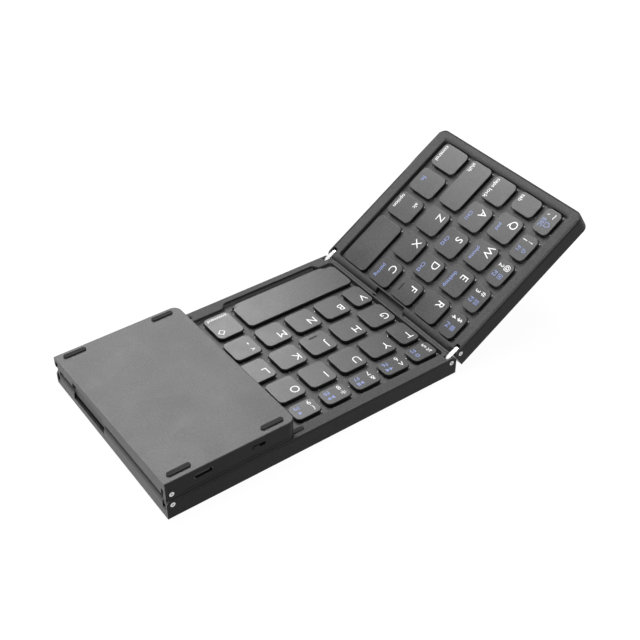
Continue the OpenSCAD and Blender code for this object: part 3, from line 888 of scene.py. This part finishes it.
def grid(panel):
    """The grid between a panel's caps, with its tabs."""
    body = panel + "_panel"
    deck = decks[body]
    piece = copy_of(panel + "_key_plate", panel + "_key_grid", deck)
    piece.data.transform(Matrix.Translation((0, 0, GRID_LIFT * MM)))
    posts, step_posts, tabs = [], [], []
    for key_body, node in key_bodies.items():
        if joint_parent[key_body] != body:
            continue
        for (left, front, _), (right, back, _) in cap_boxes[key_body]:
            if node == STEPPED_KEY:
                step_posts += cutters_of_step(left, front, right)
                front += STEP_DROP
            posts.append(cutter(left, front, right, back))
            tabs += tabs_of(left, front, right, back)
    for post in [join(posts)] + step_posts:
        cut(piece, post)
    smooth(piece)
    finish(piece, *GRID_MATERIALS)
    return put(join([piece] + tabs), deck, body, "plate")


GRID_MATERIALS = (plate_paint, white_ink, bright_metal)
joint_parent = {joint["child"]: joint["parent"] for joint in frame["joints"]}
key_bodies = {body: nodes[0] for body, nodes in frame["record"]["behaviour"]["bodies"].items()
              if body.startswith("key_") or body.endswith("_keys")}
cap_boxes = {body: loose_boxes(node, decks[joint_parent[body]])
             for body, node in key_bodies.items()}
grid("centre")
grid("left")
for body, node in key_bodies.items():
    keycap(node, body)


# ---------- room, light and camera ----------
FLOOR_SIZE = 6
FLOOR_GREY = 64
FLOOR_GLOW = 0.96
ROOM_LEVEL = 0.1

# The camera's turn is (azimuth, elevation, roll) in degrees; its aim and distance are in
# millimetres, and its shift and focal length in pixels of a square picture.
CAMERA_TURN = (143.13, 40.01, 1.3)
CAMERA_AIM = (-48.96, -15.86, 0.6)
CAMERA_DISTANCE = 565.06
PICTURE = 640
FOCAL_LENGTH = 1163
CAMERA_SHIFT = (-4.25, -0.81)
SENSOR = 36


def studio():
    """A pale floor in a grey room."""
    deselect()
    bpy.ops.mesh.primitive_plane_add(size=FLOOR_SIZE, location=(0, 0, 0))
    floor = bpy.context.object
    floor.name = "floor"
    paper = Recipe("floor_paper")
    paper.shade(Base_Color=grey(FLOOR_GREY), Roughness=1.0, Emission_Color=(1, 1, 1),
                Emission_Strength=FLOOR_GLOW * paper.seen_straight())
    finish(floor, paper.material)
    world = bpy.data.worlds.new("room")
    bpy.context.scene.world = world
    world.use_nodes = True
    air = Nodes(world.node_tree)
    back = world.node_tree.nodes["Background"]
    air.feed(back.inputs["Color"], (1, 1, 1))
    air.feed(back.inputs["Strength"], ROOM_LEVEL + (1 - ROOM_LEVEL) * air.seen_straight())


def lamp(name, direction, distance, size, power):
    """A soft lamp, so wide and so high, that faces the object from a direction."""
    toward = Vector(direction).normalized()
    deselect()
    bpy.ops.object.light_add(type="AREA", location=toward * distance)
    light = bpy.context.object
    light.name = name
    light.data.shape = "RECTANGLE"
    light.data.size, light.data.size_y = size
    light.data.energy = power
    light.rotation_euler = toward.to_track_quat("Z", "Y").to_euler()


def camera():
    """Looks down from behind the keyboard's right end."""
    azimuth, elevation, roll = (math.radians(angle) for angle in CAMERA_TURN)
    back = Vector((math.sin(azimuth) * math.cos(elevation),
                   -math.cos(azimuth) * math.cos(elevation), math.sin(elevation)))
    right = Vector((math.cos(azimuth), math.sin(azimuth), 0))
    up = back.cross(right)
    tilted_right = math.cos(roll) * right + math.sin(roll) * up
    tilted_up = math.cos(roll) * up - math.sin(roll) * right
    data = bpy.data.cameras.new("camera")
    data.sensor_width = SENSOR
    data.lens = SENSOR * FOCAL_LENGTH / PICTURE
    data.shift_x, data.shift_y = (shift / PICTURE for shift in CAMERA_SHIFT)
    data.clip_start = 0.01
    eye = bpy.data.objects.new("camera", data)
    bpy.context.scene.collection.objects.link(eye)
    place = Matrix((tilted_right, tilted_up, back)).transposed().to_4x4()
    place.translation = Vector(CAMERA_AIM) * MM + back * CAMERA_DISTANCE * MM
    eye.matrix_world = place
    bpy.context.scene.camera = eye


studio()
lamp("sheen_lamp", (-0.2, -0.67, 0.71), 1.2, (0.6, 0.6), 11)
lamp("left_sheen_lamp", (0.02, -0.6, 0.8), 1.2, (0.25, 0.25), 1.4)
lamp("top_lamp", (0.1, -0.1, 1), 1.3, (0.8, 0.8), 8.8)
lamp("end_lamp", (1, -0.1, 0.05), 1.2, (0.6, 0.1), 7.2)
camera()
bpy.context.scene.view_settings.view_transform = "Standard"
